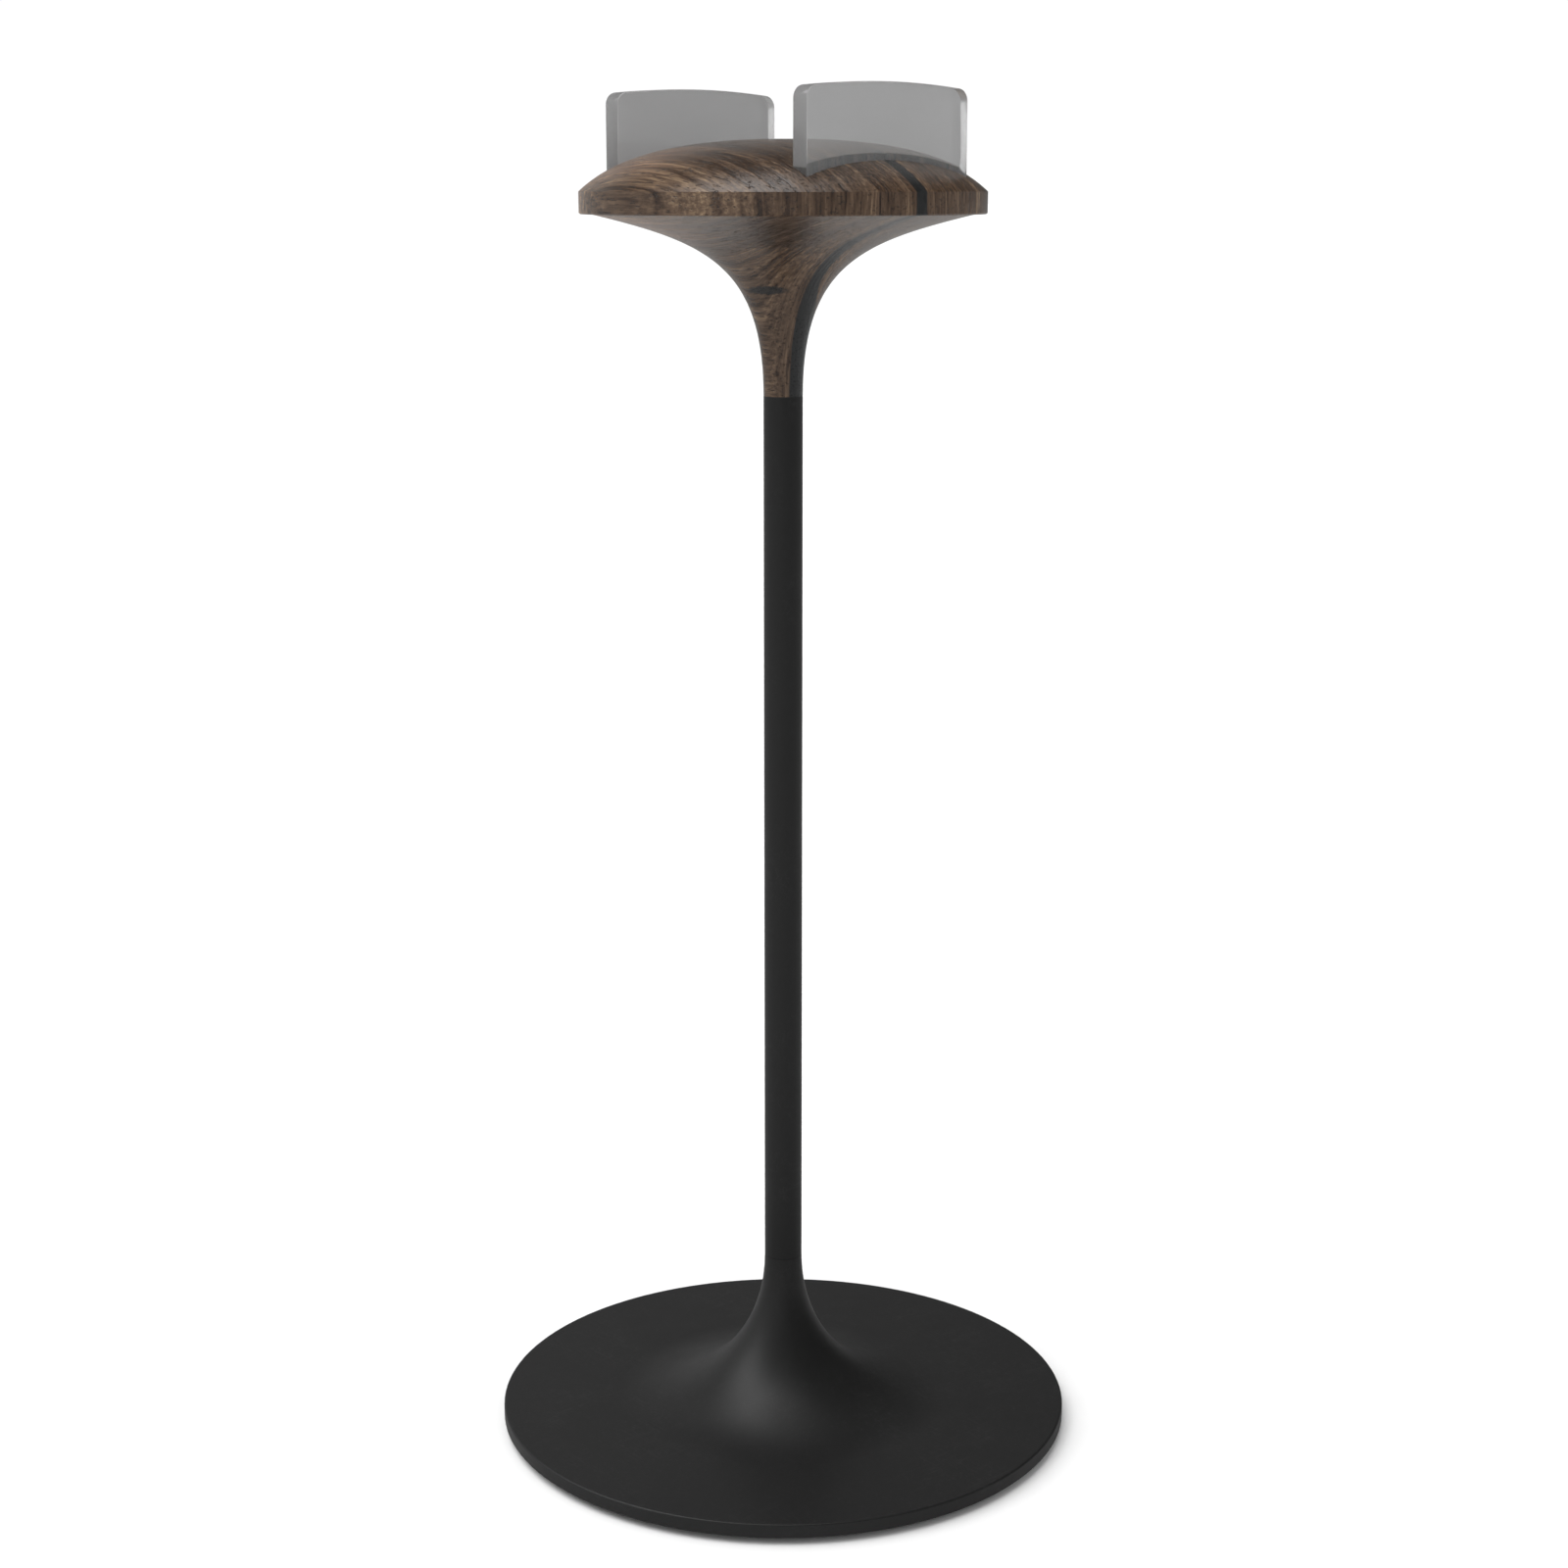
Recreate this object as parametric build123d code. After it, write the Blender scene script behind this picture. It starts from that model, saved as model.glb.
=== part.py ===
from build123d import *
from math import hypot, sqrt
import os

# Eyeglasses display stand: a weighted round base with a trumpet flare, a slim tubular stem,
# a turned walnut head with a domed top, and two upright acrylic plates let into the dome.
# Frame: origin on the floor under the middle of the stand, +Z up, plates lengthwise along X.
# All sizes in millimetres.

# Foot pad and base
pad_t = 1.5             # rubber foot pad thickness
pad_r = 58.0            # pad outer radius, set in from the base's edge
pad_hole_r = 13.0       # access hole to the screw
base_r = 61.25          # disc radius
base_t = 3.0            # disc edge thickness
base_top_round = 0.4    # rounded upper edge of the disc
base_low_bevel = 0.3    # bevelled lower edge of the disc
flare_h = 32.2          # height of the trumpet flare above the disc
flare_reach = 36.0      # radius where the flare has died into the disc
flare_pull_top = 18.5   # how far the flare runs straight below its top
flare_pull_low = 19.0   # how far the flare runs flat above the disc
recess_low_r = 11.0     # screw recess radius at the underside
recess_top_r = 9.0      # screw recess radius at its ceiling (casting draft)
recess_h = 8.0          # screw recess depth

# Stem
stem_r = 4.0            # outer radius of the tube, and of the head's neck
stem_wall = 1.0
stem_len = 185.5
plug_len = 14.0         # threaded plugs pressed into the two ends of the tube
plug_chamfer = 0.4

# Fasteners, M4
thread_r = 2.0
clearance_r = 2.2       # screw clearance bore through the base
washer_r = 4.5
washer_t = 0.8
spring_r = 3.5          # split lock washer
spring_t = 1.0
spring_gap = 0.8
screw_head_r = 3.5
screw_head_h = 4.0
hex_af = 3.0            # hexagon socket across flats
hex_depth = 2.2
screw_reach = 11.0      # screw engagement in the lower plug
stud_down = 12.0        # stud engagement in the upper plug
stud_up = 30.0          # stud length glued into the head
stud_relief = 1.0       # glue room above the stud

# Turned wooden head
rim_r = 40.8
rim_t = 4.4             # height of the rim band
rim_under = 2.2         # flat ring under the rim, outside the funnel
funnel_h = 36.1         # neck bottom to the rim's underside
funnel_pull_low = 26.5  # how far the funnel follows the neck
funnel_pull_top = (22.4, 5.4)   # how the funnel arrives under the rim, radially and downwards
dome_h = 10.2           # crown of the dome above the rim
dome_pull_top = 18.4    # how far the dome stays flat round its crown
dome_pull_low = (8.2, 7.7)      # how the dome arrives at the rim, radially and upwards
rim_round = 0.25        # eased arrises of the rim

# Acrylic plates
plate_len = 41.3
plate_t = 4.0
plate_gap = 54.4        # clear gap between the two plates
plate_top = 283.1       # height of the plates' highest point above the floor
plate_arc_r = 190.0     # radius of the arched top edge
plate_corner_r = 2.5
plate_arris = 0.15      # polished arris of the visible edges
slot_floor = 261.5      # height of the slot floors in the dome

# Heights that follow
base_low = pad_t
base_top = base_low + base_t
stem_low = base_top + flare_h
stem_top = stem_low + stem_len
rim_low = stem_top + funnel_h
rim_top = rim_low + rim_t
recess_top = base_low + recess_h
bore_r = stem_r - stem_wall
plate_mid = plate_gap / 2 + plate_t / 2


def disc(radius, low, high):
    """An upright cylinder about the stand's axis, from one height to another."""
    return Pos(0, 0, (low + high) / 2) * Cylinder(radius, high - low)


def turned(edges):
    """Revolve a closed outline, drawn in the XZ plane with radius along X, about the Z axis."""
    return revolve(make_face(Wire(edges)), Axis.Z)


def foot_pad():
    return disc(pad_r, 0, pad_t) - disc(pad_hole_r, -1, pad_t + 1)


def weighted_base():
    """Disc and trumpet flare in one casting, with a screw recess below and a bore up the middle."""
    axis_low = (0, 0, base_low)
    edge_low = (base_r - base_low_bevel, 0, base_low)
    edge_side_low = (base_r, 0, base_low + base_low_bevel)
    edge_side_top = (base_r, 0, base_top - base_top_round)
    edge_top = (base_r - base_top_round, 0, base_top)
    flare_low = (flare_reach, 0, base_top)
    flare_top = (stem_r, 0, stem_low)
    axis_top = (0, 0, stem_low)
    body = turned([
        Line(axis_low, edge_low),
        Line(edge_low, edge_side_low),
        Line(edge_side_low, edge_side_top),
        TangentArc(edge_side_top, edge_top, tangent=(0, 0, 1)),
        Line(edge_top, flare_low),
        Bezier(flare_low, (flare_reach - flare_pull_low, 0, base_top),
               (stem_r, 0, stem_low - flare_pull_top), flare_top),
        Line(flare_top, axis_top),
        Line(axis_top, axis_low),
    ])
    recess = Pos(0, 0, (base_low + recess_top) / 2) * Cone(recess_low_r, recess_top_r, recess_h)
    return body - recess - disc(clearance_r, recess_top, stem_low + 1)


def stem_tube():
    return disc(stem_r, stem_low, stem_top) - disc(bore_r, stem_low - 1, stem_top + 1)


def threaded_plug(low):
    """Plug pressed into the tube's bore, drilled and tapped right through."""
    plug = chamfer(disc(bore_r, low, low + plug_len).edges(), plug_chamfer)
    return plug - disc(thread_r, low - 1, low + plug_len + 1)


def base_washer():
    top = recess_top
    return disc(washer_r, top - washer_t, top) - disc(clearance_r, top - washer_t - 1, top + 1)


def lock_washer():
    """Split ring between the screw head and the flat washer."""
    top = recess_top - washer_t
    ring = disc(spring_r, top - spring_t, top) - disc(clearance_r, top - spring_t - 1, top + 1)
    return ring - Pos(spring_r, 0, top) * Box(spring_r * 2, spring_gap, spring_t * 3)


def base_screw():
    """Socket head cap screw, up through the base into the lower plug."""
    seat = recess_top - washer_t - spring_t
    head = disc(screw_head_r, seat - screw_head_h, seat)
    head = fillet(head.edges().group_by(Axis.Z)[0], 0.4)
    socket = Pos(0, 0, seat - screw_head_h) * extrude(
        RegularPolygon(hex_af / sqrt(3), 6), hex_depth)
    tip = stem_low + screw_reach
    shank = disc(thread_r, seat, tip)
    shank = chamfer(shank.edges().group_by(Axis.Z)[-1], 0.5)
    return head + shank - socket


def head_stud():
    """Threaded rod: lower end in the upper plug, upper end glued up the middle of the head."""
    rod = disc(thread_r, stem_top - stud_down, stem_top + stud_up)
    return chamfer(rod.edges(), 0.5)


def head_blank():
    """The turned head before its bore and slots: neck, funnel, rim band and dome."""
    neck = (stem_r, 0, stem_top)
    funnel_end = (rim_r - rim_under, 0, rim_low)
    under_edge = (rim_r - rim_round, 0, rim_low)
    side_low = (rim_r, 0, rim_low + rim_round)
    side_top = (rim_r, 0, rim_top)
    crown = (0, 0, rim_top + dome_h)
    foot = (0, 0, stem_top)
    return turned([
        Line(foot, neck),
        Bezier(neck, (stem_r, 0, stem_top + funnel_pull_low),
               (funnel_end[0] - funnel_pull_top[0], 0, rim_low - funnel_pull_top[1]), funnel_end),
        Line(funnel_end, under_edge),
        Line(under_edge, side_low),
        Line(side_low, side_top),
        Bezier(side_top, (rim_r - dome_pull_low[0], 0, rim_top + dome_pull_low[1]),
               (dome_pull_top, 0, rim_top + dome_h), crown),
        Line(crown, foot),
    ])


def plate_slot(side):
    """Blind slot for one plate, cut down into the dome."""
    height = plate_top - slot_floor
    return Pos(0, side * plate_mid, slot_floor + height / 2) * Box(plate_len, plate_t, height)


def wooden_head():
    head = head_blank() - disc(thread_r, stem_top - 1, stem_top + stud_up + stud_relief)
    return head - plate_slot(-1) - plate_slot(1)


def plate(side):
    """Upright plate with an arched top edge and rounded top corners."""
    half = plate_len / 2
    shoulder = plate_top - plate_arc_r + sqrt(plate_arc_r ** 2 - half ** 2)
    low_left, low_right = (-half, 0, slot_floor), (half, 0, slot_floor)
    top_left, top_right = (-half, 0, shoulder), (half, 0, shoulder)
    outline = make_face(Wire([
        Line(low_left, low_right),
        Line(low_right, top_right),
        ThreePointArc(top_right, (0, 0, plate_top), top_left),
        Line(top_left, low_left),
    ]))
    sheet = extrude(outline, plate_t / 2, dir=(0, 1, 0), both=True)
    top_corners = sheet.edges().filter_by(Axis.Y).group_by(Axis.Z)[-1]
    sheet = fillet(top_corners, plate_corner_r)
    visible = sheet.edges().filter_by(lambda e: e.center().Z > slot_floor + 1)
    visible = visible.filter_by(lambda e: abs(abs(e.center().Y) - plate_t / 2) < 0.01)
    return Pos(0, side * plate_mid, 0) * chamfer(visible, plate_arris)


nodes = {
    "foot_pad": foot_pad(),
    "weighted_base": weighted_base(),
    "base_washer": base_washer(),
    "lock_washer": lock_washer(),
    "base_screw": base_screw(),
    "stem_tube": stem_tube(),
    "lower_threaded_plug": threaded_plug(stem_low),
    "upper_threaded_plug": threaded_plug(stem_top - plug_len),
    "head_stud": head_stud(),
    "wooden_head": wooden_head(),
    "front_plate": plate(-1),
    "rear_plate": plate(1),
}

os.makedirs("parts", exist_ok=True)
for name, shape in nodes.items():
    export_step(shape, f"parts/{name}.step")
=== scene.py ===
import math

import bmesh
import bpy
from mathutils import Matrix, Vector


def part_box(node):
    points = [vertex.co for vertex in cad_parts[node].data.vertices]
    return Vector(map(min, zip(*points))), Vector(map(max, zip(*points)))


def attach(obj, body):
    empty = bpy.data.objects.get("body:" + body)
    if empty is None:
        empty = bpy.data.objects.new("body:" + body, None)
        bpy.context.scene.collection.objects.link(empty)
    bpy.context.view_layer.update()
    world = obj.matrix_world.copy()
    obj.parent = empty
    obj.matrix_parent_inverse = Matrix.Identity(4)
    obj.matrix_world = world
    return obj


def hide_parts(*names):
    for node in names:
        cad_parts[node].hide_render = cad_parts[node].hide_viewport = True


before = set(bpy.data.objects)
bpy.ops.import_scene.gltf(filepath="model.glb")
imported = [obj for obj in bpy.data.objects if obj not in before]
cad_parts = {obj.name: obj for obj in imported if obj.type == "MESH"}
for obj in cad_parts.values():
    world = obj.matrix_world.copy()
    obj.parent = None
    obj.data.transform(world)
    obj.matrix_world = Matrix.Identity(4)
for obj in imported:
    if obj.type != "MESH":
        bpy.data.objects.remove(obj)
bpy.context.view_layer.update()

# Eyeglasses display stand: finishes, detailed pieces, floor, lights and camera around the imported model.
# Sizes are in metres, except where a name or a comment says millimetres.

MM = 0.001

# ---------------------------------------------------------------- where things are

plate_low, plate_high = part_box("front_plate")
STEM_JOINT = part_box("weighted_base")[1].z       # where the stem stands on the flare

PLATE_ARC = 190 * MM                    # the plates' arched top edge
PLATE_CORNER = 2.5 * MM
ARRIS = 0.15 * MM                       # the rounded edges of the plates
ARRIS_STEPS = 3
CORNER_STEPS = 12
TOP_STEPS = 40
RING_STEPS = 96                         # points in one ring of a turned piece

THREAD_RADIUS = 2 * MM                  # M4 coarse thread
THREAD_PITCH = 0.7 * MM
THREAD_DEPTH = 0.40 * MM
THREAD_CHAMFER = 0.5 * MM
THREAD_RINGS = 8                        # rings of points to one turn of the thread
THREAD_FLANK = 1.25                     # the flank's steepness, against a plain zigzag
THREAD_CREST = 0.12                     # the zigzag is lowered by this, which leaves the crests flat
TAP_CLEARANCE = 0.02 * MM               # a tapped hole is this much wider than the thread
TAP_MOUTH = 0.2 * MM                    # the bevel at each end of a tapped hole
STUD_STEPS = 48
SCREW_HEAD = 4 * MM
SCREW_RIM = ((0.0, 0.45), (0.06, 0.24), (0.18, 0.10))       # rounded rim: up and in, in millimetres
SCREW_SHOULDER = ((0.1, 0.14), (0.0, 0.30))                 # under the head: down and in, in millimetres
SCREW_KNURLS_START = 0.5 * MM           # from the rim, and from the underside of the head
SCREW_KNURLS_STOP = 0.4 * MM
SCREW_NECK = 0.15 * MM
SCREW_THREAD = 20 * MM
SCREW_KNURL_TEETH = 32
HEX_KEY = 3 * MM
SOCKET_DEPTH = 2.2 * MM
SOCKET_MIDDLE = 0.3 * MM                # a small flat in the middle of the socket's floor
SOCKET_BEVEL = 0.12 * MM
SOCKET_BEVEL_DEPTH = 0.15 * MM
KNURL_DEPTH = 0.12 * MM
PLUG_KNURL_TEETH = 24
PLUG_CHAMFER = 0.4 * MM
PLUG_WAIST = 0.25 * MM                  # how far the plug's waist lies below its knurls
PLUG_BANDS = (0.38, 0.40, 0.60, 0.62)   # where the knurls stop and start again round the waist
PAD_HOLE = 13 * MM
PAD_ROUND = 0.35 * MM
PAD_ROUND_STEPS = 5
PAD_STEPS = 160
PAD_GROOVE_PITCH = 5 * MM
PAD_GROOVE = ((-0.7, 0.0), (-0.5, 0.4), (0.5, 0.4), (0.7, 0.0))     # across and up, in millimetres
CRISP_ANGLE = math.radians(32)          # edges sharper than this stay crisp

# ---------------------------------------------------------------- shader building


def fill(tree, socket, value):
    """Link an output socket, or set a plain value."""
    if isinstance(value, bpy.types.NodeSocket):
        tree.links.new(value, socket)
    else:
        socket.default_value = value


def math_node(tree, operation, *values):
    node = tree.nodes.new("ShaderNodeMath")
    node.operation = operation
    for socket, value in zip(node.inputs, values):
        fill(tree, socket, value)
    return node.outputs[0]


def vector_node(tree, operation, *values):
    node = tree.nodes.new("ShaderNodeVectorMath")
    node.operation = operation
    for socket, value in zip(node.inputs, values):
        fill(tree, socket, value)
    return node.outputs[0]


def product(tree, first, *others):
    """Values multiplied together."""
    for other in others:
        first = math_node(tree, "MULTIPLY", first, other)
    return first


def dot(tree, first, second):
    node = tree.nodes.new("ShaderNodeVectorMath")
    node.operation = "DOT_PRODUCT"
    fill(tree, node.inputs[0], first)
    fill(tree, node.inputs[1], second)
    return node.outputs["Value"]


def smooth(tree, value, start, end, low=0.0, high=1.0):
    """Smooth step of a value from start to end."""
    node = tree.nodes.new("ShaderNodeMapRange")
    node.interpolation_type = "SMOOTHSTEP"
    for name, given in (("Value", value), ("From Min", start), ("From Max", end),
                        ("To Min", low), ("To Max", high)):
        fill(tree, node.inputs[name], given)
    return node.outputs["Result"]


def window(tree, value, low, high, edge):
    """A mask that is 1 from low to high and fades to 0 over the edge's width outside them."""
    rise = smooth(tree, value, math_node(tree, "SUBTRACT", low, edge), low)
    fall = smooth(tree, value, high, math_node(tree, "ADD", high, edge), 1.0, 0.0)
    return product(tree, rise, fall)


def blend_colour(tree, factor, first, second, mode="MIX"):
    node = tree.nodes.new("ShaderNodeMix")
    node.data_type = "RGBA"
    node.blend_type = mode
    fill(tree, node.inputs[0], factor)
    fill(tree, node.inputs[6], first)
    fill(tree, node.inputs[7], second)
    return node.outputs[2]


def blend_values(tree, factor, first, second):
    node = tree.nodes.new("ShaderNodeMix")
    node.data_type = "FLOAT"
    fill(tree, node.inputs[0], factor)
    fill(tree, node.inputs[2], first)
    fill(tree, node.inputs[3], second)
    return node.outputs[0]


def noise(tree, vector, scale=1.0, detail=3.0, roughness=0.5, distortion=0.0):
    node = tree.nodes.new("ShaderNodeTexNoise")
    for name, given in (("Vector", vector), ("Scale", scale), ("Detail", detail),
                        ("Roughness", roughness), ("Distortion", distortion)):
        fill(tree, node.inputs[name], given)
    return node.outputs[0]


def ramp(tree, value, stops):
    """Colours along a value. Stops are (value, colour)."""
    node = tree.nodes.new("ShaderNodeValToRGB")
    elements = node.color_ramp.elements
    while len(elements) < len(stops):
        elements.new(0.5)
    for element, (place, colour) in zip(elements, stops):
        element.position = place
        element.color = (*colour, 1.0)
    fill(tree, node.inputs[0], value)
    return node.outputs[0]


def millimetres(tree):
    """Place on the stand in millimetres, in the stand's own frame."""
    place = tree.nodes.new("ShaderNodeTexCoord").outputs["Object"]
    return scaled(tree, place, 1000.0)


def scaled(tree, vector, factor):
    node = tree.nodes.new("ShaderNodeVectorMath")
    node.operation = "SCALE"
    fill(tree, node.inputs[0], vector)
    fill(tree, node.inputs["Scale"], factor)
    return node.outputs[0]


def stretched(tree, vector, factors):
    return vector_node(tree, "MULTIPLY", vector, factors)


def split(tree, vector):
    """A vector's X, Y and Z."""
    node = tree.nodes.new("ShaderNodeSeparateXYZ")
    fill(tree, node.inputs[0], vector)
    return node.outputs


def weighted(tree, *terms):
    """The sum of each value times its weight."""
    total = 0.0
    for value, weight in terms:
        total = math_node(tree, "ADD", total, product(tree, value, weight))
    return total


def grey(value):
    return (value, value, value, 1.0)


# ---------------------------------------------------------------- camera, floor, light

VIEW_AZIMUTH = math.radians(-40.2)      # the viewing side, turned from square on to the plates
VIEW_DOWN = math.radians(12.65)
VIEW_DISTANCE = 0.5455                  # from the stem's axis, level
VIEW_HEIGHT = 0.2639                    # above the floor
VIEW_TURN = math.radians(0.0177)        # the stem stands a hair left of the middle
LENS = 61.25

FLOOR_RADIUS = 40.0
FLOOR_TONE = 0.82
FLOOR_IN_GLOSS = 0.32                   # the paper's tone when it is mirrored or seen through the plates
ROOM_WHITE = 1.02                       # the room as the camera sees it
BEHIND = 0.29                           # the room seen through the plates: its middle, and its sides
BEHIND_SIDES = 0.95

# the lamp and the panel overhead, by how far a direction leans to the right and towards the viewing
# side: from, to, and the width of the soft edge
LAMP_RIGHTWARDS = (-0.80, 0.0, 0.30)
LAMP_TOWARDS = (-0.15, 0.20, 0.14)
LAMP_LEFT = 2.9                         # its brightness at its left and right ends
LAMP_RIGHT = 2.2
PANEL_RIGHTWARDS = (-0.30, 0.02, 0.12)
PANEL_TOWARDS = (-0.34, -0.14, 0.10)
PANEL_LIGHT = 2.2                       # its brightness
WALL_LEFT = 0.44                        # how bright the walls are at the left and at the right
WALL_RIGHT = 0.04
SOFT_LIGHT = 0.50                       # more light from all round, for matte surfaces alone
KEY_STRENGTH = 1.0
FILL_STRENGTH = 0.40

towards_view = Vector((math.sin(VIEW_AZIMUTH), -math.cos(VIEW_AZIMUTH), 0))
view_right = Vector((math.cos(VIEW_AZIMUTH), math.sin(VIEW_AZIMUTH), 0))


def make_camera():
    data = bpy.data.cameras.new("camera")
    data.lens = LENS
    data.sensor_width = 36.0
    data.clip_start = 0.01
    data.clip_end = 100.0
    camera = bpy.data.objects.new("camera", data)
    camera.location = towards_view * VIEW_DISTANCE + Vector((0, 0, VIEW_HEIGHT))
    camera.rotation_euler = (math.pi / 2 - VIEW_DOWN, 0, VIEW_AZIMUTH - VIEW_TURN)
    bpy.context.scene.collection.objects.link(camera)
    bpy.context.scene.camera = camera


def make_floor():
    """A plain round floor, far wider than the view."""
    mesh = bpy.data.meshes.new("floor")
    shape = bmesh.new()
    bmesh.ops.create_circle(shape, cap_ends=True, segments=128, radius=FLOOR_RADIUS)
    shape.to_mesh(mesh)
    shape.free()
    floor = bpy.data.objects.new("floor", mesh)
    bpy.context.scene.collection.objects.link(floor)
    mesh.materials.append(floor_paper())


def floor_paper():
    """Pale matte paper, darker where polished surfaces mirror it or light passes through the plates."""
    material, tree, surface = blank_material("floor_paper")
    place = millimetres(tree)
    tone = noise(tree, place, scale=0.004, detail=2.0)
    paper = blend_colour(tree, tone, grey(FLOOR_TONE), grey(FLOOR_TONE + 0.01))
    path = tree.nodes.new("ShaderNodeLightPath").outputs
    indirect = math_node(tree, "MAXIMUM", path["Is Glossy Ray"], path["Is Transmission Ray"])
    fill(tree, surface.inputs["Base Color"], blend_colour(tree, indirect, paper, grey(FLOOR_IN_GLOSS)))
    surface.inputs["Roughness"].default_value = 0.9
    surface.inputs["Specular IOR Level"].default_value = 0.0
    return material


def soft_sun(name, side, towards, height, spread, strength):
    """A wide, distant light. Side, towards and height say where it stands, from the viewing side."""
    data = bpy.data.lights.new(name, "SUN")
    data.angle = math.radians(spread)
    data.energy = strength
    light = bpy.data.objects.new(name, data)
    away = view_right * side + towards_view * towards + Vector((0, 0, height))
    light.rotation_mode = "QUATERNION"
    light.rotation_quaternion = away.to_track_quat("Z", "Y")
    light.visible_glossy = False        # only the lamp and the panel show as highlights
    bpy.context.scene.collection.objects.link(light)


def room_light(tree, rightwards, nearer, upwards):
    """The room's light: the lamp and the panel overhead, and walls that darken rightwards and upwards."""
    lamp = product(tree, window(tree, rightwards, *LAMP_RIGHTWARDS), window(tree, nearer, *LAMP_TOWARDS),
                   smooth(tree, rightwards, -0.75, 0.3, LAMP_LEFT, LAMP_RIGHT))
    panel = product(tree, window(tree, rightwards, *PANEL_RIGHTWARDS),
                    window(tree, nearer, *PANEL_TOWARDS), PANEL_LIGHT)
    overhead = product(tree, math_node(tree, "ADD", lamp, panel), smooth(tree, upwards, 0.35, 0.60))
    wall = product(tree, smooth(tree, rightwards, -0.5, 0.5, WALL_LEFT, WALL_RIGHT),
                   smooth(tree, upwards, 0.35, 0.65, 1.0, 0.2))
    return math_node(tree, "ADD", overhead, wall)


def make_light():
    """A white room to the camera, greyer behind the plates, with a lamp overhead and two soft suns."""
    world = bpy.data.worlds.new("studio")
    bpy.context.scene.world = world
    world.use_nodes = True
    tree = world.node_tree
    path = tree.nodes.new("ShaderNodeLightPath").outputs
    direction = tree.nodes.new("ShaderNodeTexCoord").outputs["Generated"]
    rightwards = dot(tree, direction, view_right)
    nearer = dot(tree, direction, towards_view)
    upwards = dot(tree, direction, (0, 0, 1))
    soft = product(tree, path["Is Diffuse Ray"], SOFT_LIGHT)
    lit = math_node(tree, "ADD", room_light(tree, rightwards, nearer, upwards), soft)
    behind = smooth(tree, math_node(tree, "ABSOLUTE", rightwards), 0.3, 1.0, BEHIND, BEHIND_SIDES)
    seen = math_node(tree, "ADD", path["Is Camera Ray"], path["Is Transmission Ray"])
    unseen = math_node(tree, "SUBTRACT", 1.0, seen)
    background = tree.nodes["Background"]
    background.inputs["Color"].default_value = grey(1.0)
    fill(tree, background.inputs["Strength"], weighted(
        tree, (path["Is Camera Ray"], ROOM_WHITE), (path["Is Transmission Ray"], behind), (unseen, lit)))
    soft_sun("key", -0.65, 0.85, 1.9, 36, KEY_STRENGTH)
    soft_sun("fill", 0.9, 0.8, 0.6, 60, FILL_STRENGTH)


# ---------------------------------------------------------------- shared effects

HAIRLINE = (0.495, 0.505, 0.012)        # the thin slice of a noise that is a scratch: from, to, soft edge


def blank_material(name):
    """A new material with an empty tree, a Principled surface and the output."""
    material = bpy.data.materials.new(name)
    material.use_nodes = True
    tree = material.node_tree
    tree.nodes.clear()
    surface = tree.nodes.new("ShaderNodeBsdfPrincipled")
    output = tree.nodes.new("ShaderNodeOutputMaterial")
    tree.links.new(surface.outputs[0], output.inputs["Surface"])
    return material, tree, surface


def new_group(name, inputs, outputs):
    """An empty shader node group. Inputs are (name, kind, default); outputs are (name, kind)."""
    tree = bpy.data.node_groups.new(name, "ShaderNodeTree")
    for label, kind, default in inputs:
        socket = tree.interface.new_socket(label, in_out="INPUT", socket_type="NodeSocket" + kind)
        if default is not None:
            socket.default_value = default
    for label, kind in outputs:
        tree.interface.new_socket(label, in_out="OUTPUT", socket_type="NodeSocket" + kind)
    return tree, tree.nodes.new("NodeGroupInput").outputs, tree.nodes.new("NodeGroupOutput").inputs


def use_group(tree, group, **values):
    """A group placed in a material, with its own values. An underscore stands for a space."""
    node = tree.nodes.new("ShaderNodeGroup")
    node.node_tree = group
    for name, value in values.items():
        fill(tree, node.inputs[name.replace("_", " ")], value)
    return node.outputs


def bump(tree, height, distance, strength=1.0):
    node = tree.nodes.new("ShaderNodeBump")
    node.inputs["Strength"].default_value = strength
    node.inputs["Distance"].default_value = distance
    fill(tree, node.inputs["Height"], height)
    return node.outputs[0]


def powder_grain_group():
    """The fine pebbled skin of a baked powder coat: a height and a slow change of tone."""
    tree, given, out = new_group(
        "powder_grain",
        [("Place", "Vector", None), ("Grain mm", "Float", 0.5)],
        [("Height", "Float"), ("Tone", "Float")])
    fine = math_node(tree, "DIVIDE", 1.0, given["Grain mm"])
    pebbles = noise(tree, scaled(tree, given["Place"], fine), detail=2.0, roughness=0.6)
    slow = noise(tree, given["Place"], scale=0.05, detail=3.0)
    fill(tree, out["Height"], pebbles)
    fill(tree, out["Tone"], slow)
    return tree


def settled_dust_group():
    """Dust that lies where a surface looks up: a mask from 0 to 1."""
    tree, given, out = new_group(
        "settled_dust",
        [("Place", "Vector", None), ("Amount", "Float", 0.3)],
        [("Mask", "Float")])
    normal = tree.nodes.new("ShaderNodeNewGeometry").outputs["Normal"]
    upward = smooth(tree, split(tree, normal)["Z"], 0.55, 1.0)
    specks = smooth(tree, noise(tree, given["Place"], scale=1.3, detail=6.0, roughness=0.75), 0.52, 0.72)
    drift = noise(tree, given["Place"], scale=0.06, detail=2.0)
    fill(tree, out["Mask"], product(tree, upward, specks, drift, given["Amount"]))
    return tree


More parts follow.
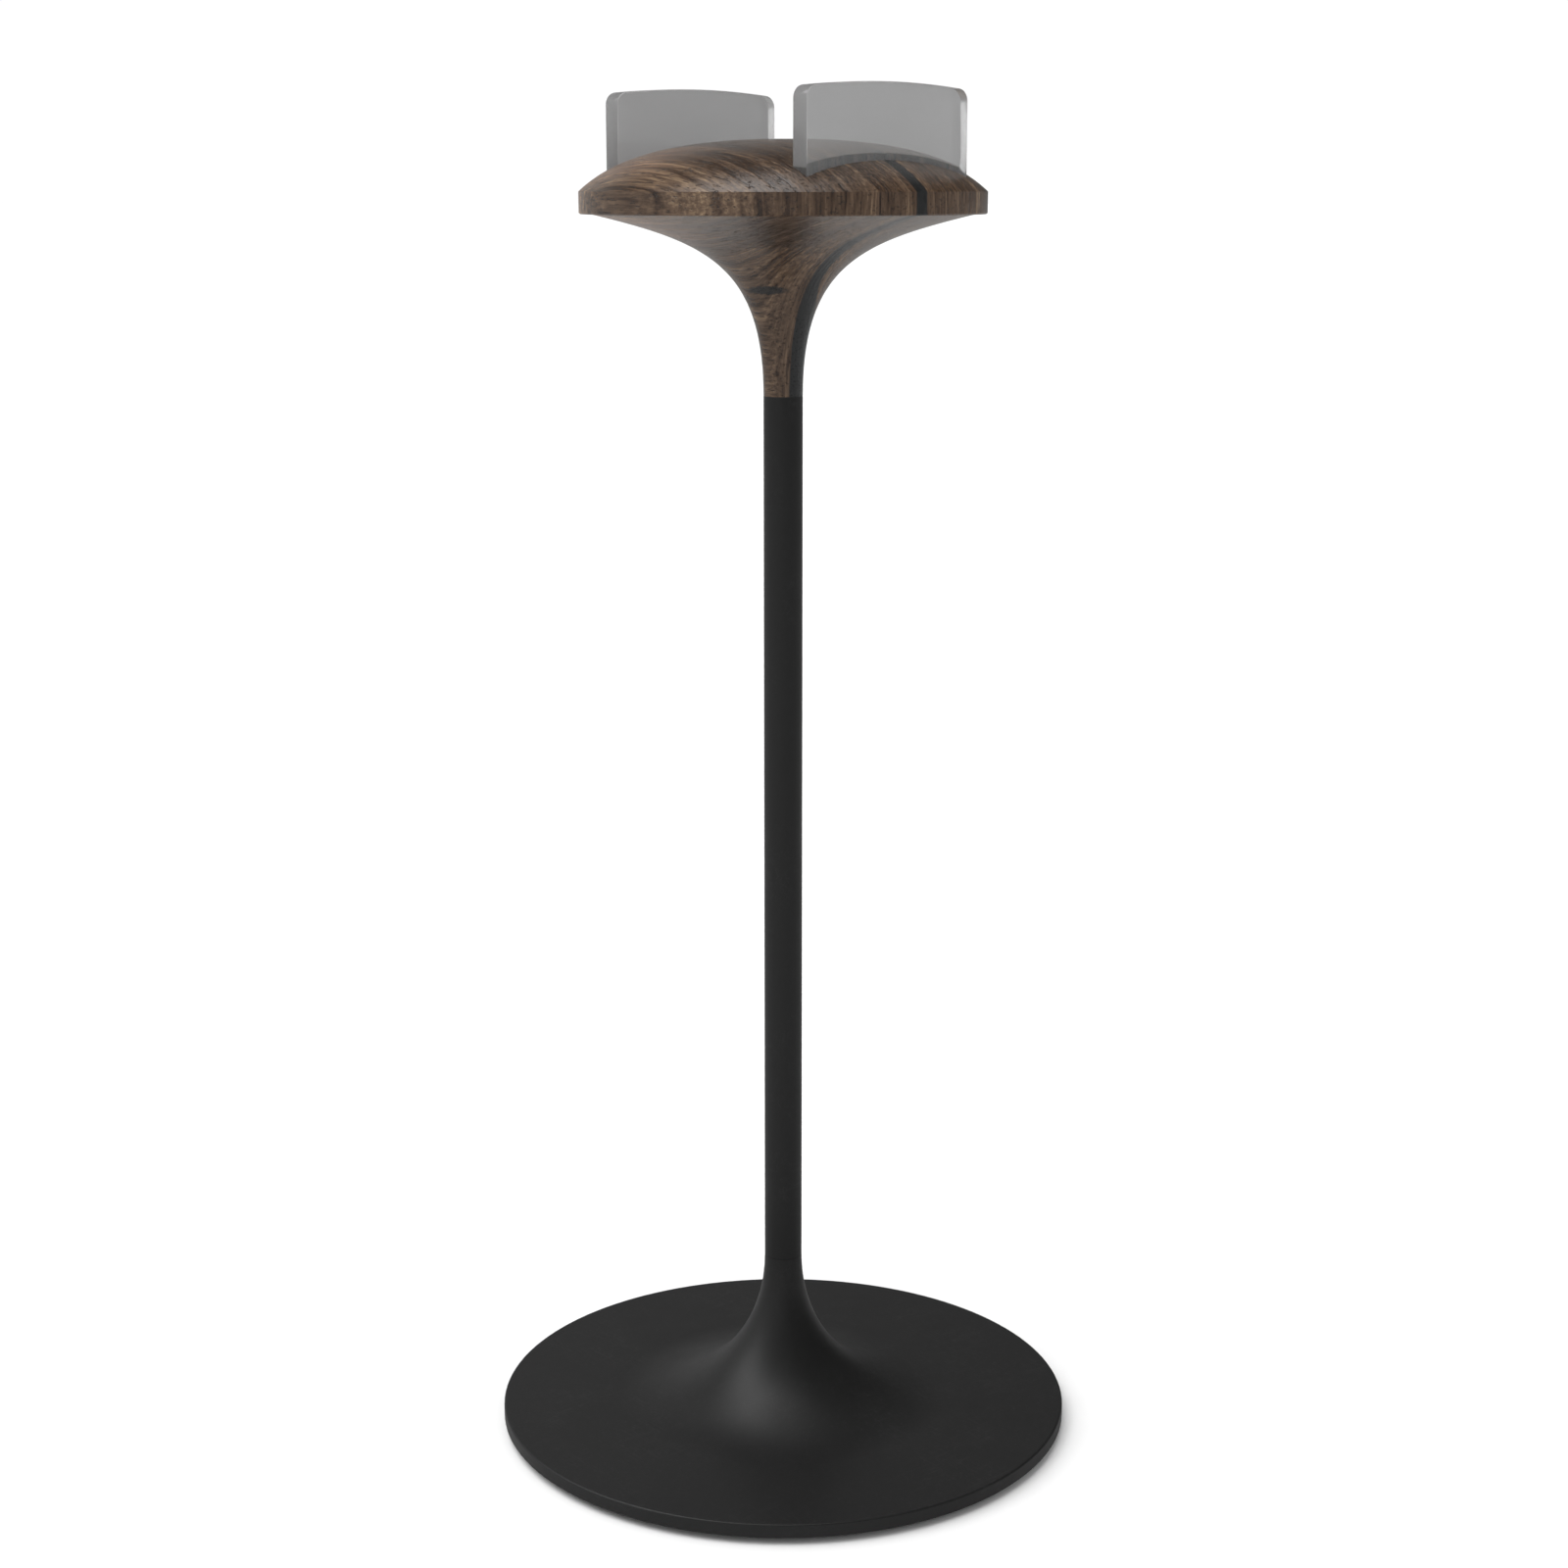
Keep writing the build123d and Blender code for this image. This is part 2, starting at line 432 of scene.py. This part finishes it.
def fine_scratches_group():
    """Hairline scratches lying two ways: a mask from 0 to 1."""
    tree, given, out = new_group(
        "fine_scratches",
        [("Place", "Vector", None), ("Spacing mm", "Float", 1.0), ("Amount", "Float", 0.5)],
        [("Mask", "Float")])
    close = math_node(tree, "DIVIDE", 1.0, given["Spacing mm"])
    place = scaled(tree, given["Place"], close)
    one_way = noise(tree, stretched(tree, place, (0.15, 2.6, 1.1)), detail=2.0, distortion=0.4)
    other_way = noise(tree, stretched(tree, place, (2.2, 0.2, 0.9)), detail=2.0, distortion=0.4)
    hair_one = window(tree, one_way, *HAIRLINE)
    hair_other = window(tree, other_way, *HAIRLINE)
    patchy = smooth(tree, noise(tree, place, scale=0.2, detail=2.0), 0.45, 0.65)
    hairs = math_node(tree, "MAXIMUM", hair_one, hair_other)
    fill(tree, out["Mask"], product(tree, hairs, patchy, given["Amount"]))
    return tree


FINE_SCRATCHES = fine_scratches_group()
POWDER_GRAIN = powder_grain_group()
SETTLED_DUST = settled_dust_group()

# ---------------------------------------------------------------- materials

# The walnut, in millimetres on the stand. Its grain runs along Y, and its layers are stacked along X.
WANDER_STRETCH = (0.03, 0.007, 0.08)    # how often the layers bend along X, Y and Z
WANDER = 3.5                            # how far they can bend
WALNUT_TONES = [
    (0.39, (0.018, 0.011, 0.008)),
    (0.45, (0.042, 0.025, 0.016)),
    (0.505, (0.074, 0.046, 0.029)),
    (0.55, (0.106, 0.067, 0.042)),
    (0.60, (0.175, 0.116, 0.070)),
    (0.65, (0.300, 0.205, 0.120)),
]
PAINTED_LIGHT_ACROSS = (-33.0, -24.0, 6.0)       # painted light: a paler patch across X, on the dome's left where the light falls: from, to, and its soft edge
# how much the painted light brightens the wood
PAINTED_LIGHT_TINT = (2.05, 1.90, 1.80, 1.0)
PORE_BROWN = (0.016, 0.011, 0.008, 1.0)
VEIN_BLACK = (0.0125, 0.0130, 0.0135, 1.0)
VEIN_START = -1.35                      # the near-black vein across X; low in the neck it is wider
VEIN_NARROW = 1.05
VEIN_WIDE = 3.6
VEIN_WIDENS_BELOW = 246.0
KNOT_PLACE = (-7.0, -3.6, 243.6)        # one dark streak on the funnel
KNOT_SPREAD = (0.25, 0.22, 1.1)         # one over its half length along X, Y and Z
PAINTED_SHADE_PLACE = (-16.0, -19.0, 254.5)   # painted shade under the rim at the front, as the camera sees it: the dark that the funnel mirrors from the neck
PAINTED_SHADE_SPREAD = (0.10, 0.09, 0.10)
# the brown of the painted shade under the rim
PAINTED_SHADE_BROWN = (0.020, 0.013, 0.009, 1.0)

ACRYLIC_IOR = 1.49
JOINT_LINE = 0.05                       # half the shadow line between base and stem, in millimetres


def reach_from(tree, place, centre, spread):
    """How far a point lies from a centre. It is 1 at a distance of one over the spread each way."""
    reach = tree.nodes.new("ShaderNodeVectorMath")
    reach.operation = "LENGTH"
    fill(tree, reach.inputs[0], stretched(tree, vector_node(tree, "SUBTRACT", place, centre), spread))
    return reach.outputs["Value"]


def powder_black(name, tone, grain):
    """Satin black powder coat, with a hairline of shadow where the stem meets the base."""
    material, tree, surface = blank_material(name)
    place = millimetres(tree)
    coat = use_group(tree, POWDER_GRAIN, Place=place, Grain_mm=grain)
    dust = use_group(tree, SETTLED_DUST, Place=place, Amount=0.10)["Mask"]
    rubs = use_group(tree, FINE_SCRATCHES, Place=place, Spacing_mm=3.0, Amount=0.3)["Mask"]
    colour = blend_colour(tree, coat["Tone"], grey(tone * 0.85), grey(tone * 1.15))
    colour = blend_colour(tree, product(tree, rubs, 0.3), colour, grey(0.05))
    joint_at = STEM_JOINT / MM
    joint = window(tree, split(tree, place)["Z"], joint_at - JOINT_LINE, joint_at + JOINT_LINE, 0.12)
    colour = blend_colour(tree, joint, colour, grey(0.002))
    fill(tree, surface.inputs["Base Color"], blend_colour(tree, dust, colour, grey(0.25)))
    rough = smooth(tree, coat["Tone"], 0.2, 0.8, 0.40, 0.50)
    fill(tree, surface.inputs["Roughness"], math_node(tree, "SUBTRACT", rough, product(tree, rubs, 0.12)))
    fill(tree, surface.inputs["Normal"], bump(tree, coat["Height"], 0.02 * MM, 0.6))
    surface.inputs["Specular IOR Level"].default_value = 0.42
    return material


def walnut_layers(tree, place):
    """Walnut's broad patches, bands and fine lines, in layers that bend a little over the head."""
    along_x, along_y, along_z = split(tree, place)
    wander = noise(tree, stretched(tree, place, WANDER_STRETCH), detail=2.0)
    wander = product(tree, math_node(tree, "SUBTRACT", wander, 0.5), WANDER)
    layered = tree.nodes.new("ShaderNodeCombineXYZ")
    fill(tree, layered.inputs["X"], math_node(tree, "ADD", along_x, wander))
    fill(tree, layered.inputs["Y"], product(tree, along_y, 0.02))
    fill(tree, layered.inputs["Z"], product(tree, along_z, 0.04))
    layer = layered.outputs[0]
    patches = noise(tree, layer, scale=0.16, detail=1.0)
    bands = noise(tree, layer, scale=0.52, detail=2.0)
    lines = noise(tree, layer, scale=1.7, detail=3.0, roughness=0.6)
    return patches, bands, lines


def walnut_fibres(tree, place):
    """Walnut's fine fibres, which stand upright where the head is cut across the grain."""
    fibres = noise(tree, stretched(tree, place, (1.9, 0.05, 1.3)), detail=5.0, roughness=0.7)
    end_grain = noise(tree, stretched(tree, place, (2.4, 0.05, 0.12)), detail=4.0, roughness=0.7)
    facing = split(tree, tree.nodes.new("ShaderNodeTexCoord").outputs["Normal"])
    cut_across = smooth(tree, math_node(tree, "ABSOLUTE", facing["Y"]), 0.55, 0.95)
    return blend_values(tree, cut_across, fibres, end_grain)


def walnut():
    """Dark oiled walnut with one near-black vein and a small dark streak, with painted light on the
    dome's left and painted shade under the rim.
    """
    material, tree, surface = blank_material("walnut")
    place = millimetres(tree)
    along_x, along_y, along_z = split(tree, place)
    patches, bands, lines = walnut_layers(tree, place)
    fibres = walnut_fibres(tree, place)
    figure = weighted(tree, (patches, 0.12), (bands, 0.24), (lines, 0.24), (fibres, 0.40))
    colour = ramp(tree, figure, WALNUT_TONES)

    # painted light: a paler patch on the left of the dome as the camera sees it, where the light from the
    # upper left falls
    painted_light = product(tree, window(tree, along_x, *PAINTED_LIGHT_ACROSS), smooth(tree, along_y, -14.0, 8.0))
    painted_light_tint = blend_colour(tree, painted_light, grey(1.0), PAINTED_LIGHT_TINT)
    colour = blend_colour(tree, 1.0, colour, painted_light_tint, mode="MULTIPLY")

    # pores: short dark dashes along the grain
    pores = smooth(tree, noise(tree, stretched(tree, place, (2.1, 0.26, 2.1)), detail=2.0), 0.60, 0.68)
    colour = blend_colour(tree, product(tree, pores, 0.6), colour, PORE_BROWN)

    # the near-black vein, wider down in the neck, and one dark streak on the funnel
    wobble = product(tree, math_node(tree, "SUBTRACT", fibres, 0.5), 0.8)
    vein_x = math_node(tree, "ADD", along_x, wobble)
    vein_end = smooth(tree, along_z, VEIN_WIDENS_BELOW - 8.0, VEIN_WIDENS_BELOW, VEIN_WIDE, VEIN_NARROW)
    vein = window(tree, vein_x, VEIN_START, vein_end, 0.35)
    knot = reach_from(tree, place, KNOT_PLACE, KNOT_SPREAD)
    knot = smooth(tree, math_node(tree, "ADD", knot, wobble), 0.7, 1.15, 0.9, 0.0)
    colour = blend_colour(tree, math_node(tree, "MAXIMUM", vein, knot), colour, VEIN_BLACK)

    # painted shade: darker strokes under the rim, where the funnel turns outwards at the front as the
    # camera sees it and mirrors the dark neck; the fibres break the shade into strokes
    strokes = smooth(tree, reach_from(tree, place, PAINTED_SHADE_PLACE, PAINTED_SHADE_SPREAD), 0.35, 1.1, 1.0, 0.0)
    strokes = product(tree, strokes, smooth(tree, fibres, 0.42, 0.56, 0.95, 0.40))
    colour = blend_colour(tree, strokes, colour, PAINTED_SHADE_BROWN)

    fill(tree, surface.inputs["Base Color"], colour)
    fill(tree, surface.inputs["Roughness"], smooth(tree, figure, 0.40, 0.60, 0.16, 0.26))
    relief = weighted(tree, (bands, 0.8), (lines, 0.7), (fibres, 0.5), (pores, -0.6))
    fill(tree, surface.inputs["Normal"], bump(tree, relief, 0.16 * MM, 1.0))
    surface.inputs["Specular IOR Level"].default_value = 0.50
    return material


def grey_acrylic():
    """The plates' broad faces: see-through with a faint smoky cloud."""
    material, tree, surface = blank_material("grey_acrylic")
    place = millimetres(tree)
    tone = noise(tree, place, scale=0.08, detail=2.0)
    fill(tree, surface.inputs["Base Color"], blend_colour(tree, tone, grey(0.80), grey(0.84)))
    fill(tree, surface.inputs["Roughness"], smooth(tree, tone, 0.3, 0.7, 0.0, 0.012))
    surface.inputs["Transmission Weight"].default_value = 0.83
    surface.inputs["IOR"].default_value = ACRYLIC_IOR
    return material


def polished_edge():
    """The plates' polished edges: a little paler than the faces, with fine polishing strokes."""
    material, tree, surface = blank_material("polished_edge")
    place = millimetres(tree)
    strokes = noise(tree, stretched(tree, place, (0.6, 6.0, 0.6)), detail=3.0)
    fill(tree, surface.inputs["Base Color"], blend_colour(tree, strokes, grey(0.86), grey(0.92)))
    fill(tree, surface.inputs["Roughness"], smooth(tree, strokes, 0.3, 0.7, 0.06, 0.12))
    surface.inputs["Transmission Weight"].default_value = 0.84
    surface.inputs["IOR"].default_value = ACRYLIC_IOR
    return material


def zinc_plated_steel():
    """Bright zinc plate with a faint blue and straw bloom and fine handling marks."""
    material, tree, surface = blank_material("plated_steel")
    place = millimetres(tree)
    bloom = noise(tree, place, scale=0.35, detail=2.0)
    grains = noise(tree, place, scale=5.0, detail=4.0, roughness=0.7)
    marks = use_group(tree, FINE_SCRATCHES, Place=place, Spacing_mm=0.8, Amount=0.8)["Mask"]
    colour = ramp(tree, bloom, [
        (0.35, (0.50, 0.54, 0.60)),
        (0.50, (0.62, 0.62, 0.61)),
        (0.65, (0.66, 0.62, 0.52)),
    ])
    colour = blend_colour(tree, product(tree, marks, 0.4), colour, grey(0.35))
    fill(tree, surface.inputs["Base Color"], colour)
    rough = smooth(tree, grains, 0.3, 0.7, 0.22, 0.36)
    fill(tree, surface.inputs["Roughness"], math_node(tree, "ADD", rough, product(tree, marks, 0.2)))
    fill(tree, surface.inputs["Normal"], bump(tree, grains, 0.01 * MM, 0.5))
    surface.inputs["Metallic"].default_value = 1.0
    return material


def turned_brass():
    """Brass as it leaves the lathe: fine turning rings and a little tarnish."""
    material, tree, surface = blank_material("turned_brass")
    place = millimetres(tree)
    rings = noise(tree, stretched(tree, place, (0.2, 0.2, 9.0)), detail=4.0)
    tarnish = smooth(tree, noise(tree, place, scale=0.5, detail=4.0), 0.48, 0.70)
    bright = blend_colour(tree, rings, (0.72, 0.55, 0.26, 1.0), (0.84, 0.68, 0.36, 1.0))
    colour = blend_colour(tree, product(tree, tarnish, 0.5), bright, (0.36, 0.23, 0.10, 1.0))
    fill(tree, surface.inputs["Base Color"], colour)
    rough = smooth(tree, rings, 0.3, 0.7, 0.20, 0.32)
    fill(tree, surface.inputs["Roughness"], math_node(tree, "ADD", rough, product(tree, tarnish, 0.15)))
    fill(tree, surface.inputs["Normal"], bump(tree, rings, 0.012 * MM, 0.7))
    surface.inputs["Metallic"].default_value = 1.0
    return material


def pad_rubber():
    """Matte black rubber with a fine moulded skin and settled dust."""
    material, tree, surface = blank_material("pad_rubber")
    place = millimetres(tree)
    skin = use_group(tree, POWDER_GRAIN, Place=place, Grain_mm=0.6)
    dust = use_group(tree, SETTLED_DUST, Place=place, Amount=0.5)["Mask"]
    colour = blend_colour(tree, skin["Tone"], grey(0.016), grey(0.030))
    fill(tree, surface.inputs["Base Color"], blend_colour(tree, dust, colour, grey(0.20)))
    fill(tree, surface.inputs["Roughness"], smooth(tree, skin["Height"], 0.3, 0.7, 0.72, 0.88))
    fill(tree, surface.inputs["Normal"], bump(tree, skin["Height"], 0.08 * MM, 0.6))
    surface.inputs["Specular IOR Level"].default_value = 0.35
    return material


# ---------------------------------------------------------------- pieces


def arc(centre_x, centre_z, radius, start, end, steps):
    """Points of an arc in the XZ plane, from one angle to another, in degrees."""
    points = []
    for i in range(steps + 1):
        angle = math.radians(start + (end - start) * i / steps)
        points.append((centre_x + radius * math.cos(angle), centre_z + radius * math.sin(angle)))
    return points


def plate_outline(inset):
    """The plate seen from the front, with its arched top and rounded corners, inset all round."""
    half = plate_high.x - inset
    corner = PLATE_CORNER - inset
    top_radius = PLATE_ARC - inset
    arc_centre = plate_high.z - PLATE_ARC
    corner_x = half - corner
    corner_z = arc_centre + math.sqrt((top_radius - corner) ** 2 - corner_x ** 2)
    turn = math.degrees(math.atan2(corner_z - arc_centre, corner_x))
    right = arc(corner_x, corner_z, corner, 0, turn, CORNER_STEPS)
    top = arc(0, arc_centre, top_radius, turn, 180 - turn, TOP_STEPS)
    left = arc(-corner_x, corner_z, corner, 180 - turn, 180, CORNER_STEPS)
    low = plate_low.z + inset
    return [(half, low)] + right + top[1:-1] + left + [(-half, low)]


def make_plate(name, node, faces_finish, edge_finish):
    """An acrylic plate with softly rounded polished arrises, in place of the plain one."""
    low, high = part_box(node)
    arris = []
    for i in range(ARRIS_STEPS + 1):
        angle = math.radians(90 * i / ARRIS_STEPS)
        arris.append((low.y + ARRIS * (1 - math.sin(angle)), ARRIS * (1 - math.cos(angle))))
    back = [(low.y + high.y - y, inset) for y, inset in arris]
    shape = bmesh.new()
    loops = []
    for y, inset in arris[::-1] + back:
        loops.append([shape.verts.new((x, y, z)) for x, z in plate_outline(inset)])
    count = len(loops[0])
    for first, second in zip(loops, loops[1:]):
        for i in range(count):
            side = shape.faces.new((first[i], first[i - 1], second[i - 1], second[i]))
            side.smooth = True
            side.material_index = 1     # the edge finish
    shape.faces.new(loops[0])
    shape.faces.new(reversed(loops[-1]))
    bmesh.ops.recalc_face_normals(shape, faces=shape.faces)
    piece = new_piece(name, shape, faces_finish, edge_finish)
    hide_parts(node)


def new_piece(name, shape, *finishes):
    """A named object that rides with the stand, from a finished bmesh."""
    mesh = bpy.data.meshes.new(name)
    shape.to_mesh(mesh)
    shape.free()
    for finish in finishes:
        mesh.materials.append(finish)
    piece = bpy.data.objects.new(name, mesh)
    bpy.context.scene.collection.objects.link(piece)
    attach(piece, "root")
    return piece


def ring(height, radius, steps=RING_STEPS):
    """A ring of points about the stem's axis. The radius is a number or a function of the angle."""
    points = []
    for i in range(steps):
        angle = 2 * math.pi * i / steps
        reach = radius(angle) if callable(radius) else radius
        points.append((reach * math.cos(angle), reach * math.sin(angle), height))
    return points


def crisp(shape):
    """Turn the normals outwards and keep sharp edges crisp under smooth shading."""
    bmesh.ops.recalc_face_normals(shape, faces=shape.faces)
    for edge in shape.edges:
        edge.smooth = edge.calc_face_angle(0.0) < CRISP_ANGLE


def skin_rings(rings, closed=False):
    """A bmesh skinned over rings of equal count: closed into a tube wall, or capped at both ends."""
    shape = bmesh.new()
    loops = [[shape.verts.new(point) for point in points] for points in rings]
    count = len(loops[0])
    followers = loops[1:] + loops[:1] if closed else loops[1:]
    for first, second in zip(loops, followers):
        for i in range(count):
            side = shape.faces.new((first[i - 1], first[i], second[i], second[i - 1]))
            side.smooth = True
    if not closed:
        shape.faces.new(list(reversed(loops[0])))
        shape.faces.new(loops[-1])
    crisp(shape)
    return shape


def thread_cut(height, angle, ends):
    """How deep an M4 thread is cut at a height and an angle; it runs out at both of its ends."""
    turn = height / THREAD_PITCH - angle / (2 * math.pi)
    flank = abs(2 * (turn % 1.0) - 1.0)
    cut = min(1.0, max(0.0, THREAD_FLANK * flank - THREAD_CREST))
    low, high = ends
    run_in = max(0.0, (height - low) / THREAD_PITCH)
    run_out = max(0.0, (high - height) / THREAD_PITCH)
    return THREAD_DEPTH * cut * min(1.0, run_in, run_out)


def threaded_rings(low, high, radius, steps=RING_STEPS):
    """Rings along a thread from one height to another."""
    count = round((high - low) / THREAD_PITCH * THREAD_RINGS)
    rings = []
    for i in range(count + 1):
        height = low + (high - low) * i / count
        rings.append(ring(height, lambda angle: radius - thread_cut(height, angle, (low, high)), steps))
    return rings


def hexagon(across_flats):
    """The radius of a hexagon at an angle."""
    def reach(angle):
        from_flat = (angle + math.pi / 6) % (math.pi / 3) - math.pi / 6
        return across_flats / 2 / math.cos(from_flat)
    return reach


def knurled(radius, teeth):
    """The radius of a straight knurl at an angle."""
    def reach(angle):
        return radius - KNURL_DEPTH * (0.5 - 0.5 * math.cos(teeth * angle))
    return reach


def cap_screw(finish):
    """Socket head cap screw: hexagon socket, knurled head, plain shank and rolled thread."""
    low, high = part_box("base_screw")
    head = high.x
    head_top = low.z + SCREW_HEAD
    thread_low = high.z - SCREW_THREAD
    tip = high.z - THREAD_CHAMFER
    socket = hexagon(HEX_KEY)
    grip = knurled(head, SCREW_KNURL_TEETH)
    rings = [
        ring(low.z + SOCKET_DEPTH, SOCKET_MIDDLE),
        ring(low.z + SOCKET_DEPTH, socket),
        ring(low.z + SOCKET_BEVEL_DEPTH, socket),
        ring(low.z, lambda angle: socket(angle) + SOCKET_BEVEL),
    ]
    rings += [ring(low.z + up * MM, head - inward * MM) for up, inward in SCREW_RIM]
    rings += [ring(low.z + SCREW_KNURLS_START, grip), ring(head_top - SCREW_KNURLS_STOP, grip)]
    rings += [ring(head_top - down * MM, head - inward * MM) for down, inward in SCREW_SHOULDER]
    rings += [ring(head_top, THREAD_RADIUS + SCREW_NECK), ring(head_top + SCREW_NECK, THREAD_RADIUS)]
    rings += threaded_rings(thread_low, tip, THREAD_RADIUS)
    rings += [ring(high.z, THREAD_RADIUS - THREAD_CHAMFER)]
    piece = new_piece("base_screw_detailed", skin_rings(rings), finish)
    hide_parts("base_screw")


def threaded_stud(finish):
    """Threaded rod with chamfered ends."""
    low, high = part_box("head_stud")
    rings = [ring(low.z, THREAD_RADIUS - THREAD_CHAMFER, STUD_STEPS)]
    rings += threaded_rings(low.z + THREAD_CHAMFER, high.z - THREAD_CHAMFER, THREAD_RADIUS, STUD_STEPS)
    rings += [ring(high.z, THREAD_RADIUS - THREAD_CHAMFER, STUD_STEPS)]
    piece = new_piece("head_stud_threaded", skin_rings(rings), finish)
    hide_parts("head_stud")


def tapped_plug(node, finish):
    """Brass plug pressed into the stem: two knurled bands, a waist, and a tapped hole right through."""
    low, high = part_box(node)
    wall = high.x
    grip = knurled(wall, PLUG_KNURL_TEETH)
    waist = wall - PLUG_WAIST
    hole = THREAD_RADIUS + TAP_CLEARANCE
    outside = [ring(low.z, wall - PLUG_CHAMFER), ring(low.z + PLUG_CHAMFER, grip)]
    for share, radius in zip(PLUG_BANDS, (grip, waist, waist, grip)):
        outside.append(ring(low.z + (high.z - low.z) * share, radius))
    outside += [ring(high.z - PLUG_CHAMFER, grip), ring(high.z, wall - PLUG_CHAMFER)]
    inside = [ring(high.z, hole + TAP_MOUTH)]
    inside += reversed(threaded_rings(low.z + TAP_MOUTH, high.z - TAP_MOUTH, hole))
    inside += [ring(low.z, hole + TAP_MOUTH)]
    piece = new_piece(node + "_knurled", skin_rings(outside + inside, closed=True), finish)
    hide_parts(node)


def moulded_pad(finish):
    """Rubber foot pad: rounded rims, and shallow grip grooves round its underside."""
    low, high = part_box("foot_pad")
    profile = [(PAD_HOLE + PAD_ROUND, low.z)]
    groove = PAD_HOLE + PAD_GROOVE_PITCH
    while groove < high.x - PAD_GROOVE_PITCH:
        profile += [(groove + across * MM, low.z + up * MM) for across, up in PAD_GROOVE]
        groove += PAD_GROOVE_PITCH
    outer, inner = high.x - PAD_ROUND, PAD_HOLE + PAD_ROUND
    under, over = low.z + PAD_ROUND, high.z - PAD_ROUND
    profile += arc(outer, under, PAD_ROUND, -90, 0, PAD_ROUND_STEPS)
    profile += arc(outer, over, PAD_ROUND, 0, 90, PAD_ROUND_STEPS)
    profile += arc(inner, over, PAD_ROUND, 90, 180, PAD_ROUND_STEPS)
    # the last arc stops just short of the profile's first point
    profile += arc(inner, under, PAD_ROUND, 180, 265, PAD_ROUND_STEPS)
    rings = [ring(z, x, PAD_STEPS) for x, z in profile]
    piece = new_piece("foot_pad_moulded", skin_rings(rings, closed=True), finish)
    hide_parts("foot_pad")


def paint(material, *nodes):
    """Give CAD nodes a finish, in every material slot that they have."""
    for name in nodes:
        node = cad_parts[name]
        if not node.material_slots:
            node.data.materials.append(material)
        for slot in node.material_slots:
            slot.material = material


# ---------------------------------------------------------------- the stand

make_camera()
make_floor()
make_light()
paint(powder_black("base_coat", 0.010, 0.35), "weighted_base")
paint(powder_black("stem_coat", 0.009, 0.35), "stem_tube")
paint(walnut(), "wooden_head")
face_finish = grey_acrylic()
edge_finish = polished_edge()
make_plate("front_plate_polished", "front_plate", face_finish, edge_finish)
make_plate("rear_plate_polished", "rear_plate", face_finish, edge_finish)
steel_finish = zinc_plated_steel()
brass_finish = turned_brass()
paint(steel_finish, "base_washer", "lock_washer")
cap_screw(steel_finish)
threaded_stud(steel_finish)
tapped_plug("lower_threaded_plug", brass_finish)
tapped_plug("upper_threaded_plug", brass_finish)
moulded_pad(pad_rubber())

bpy.context.scene.view_settings.view_transform = "Standard"
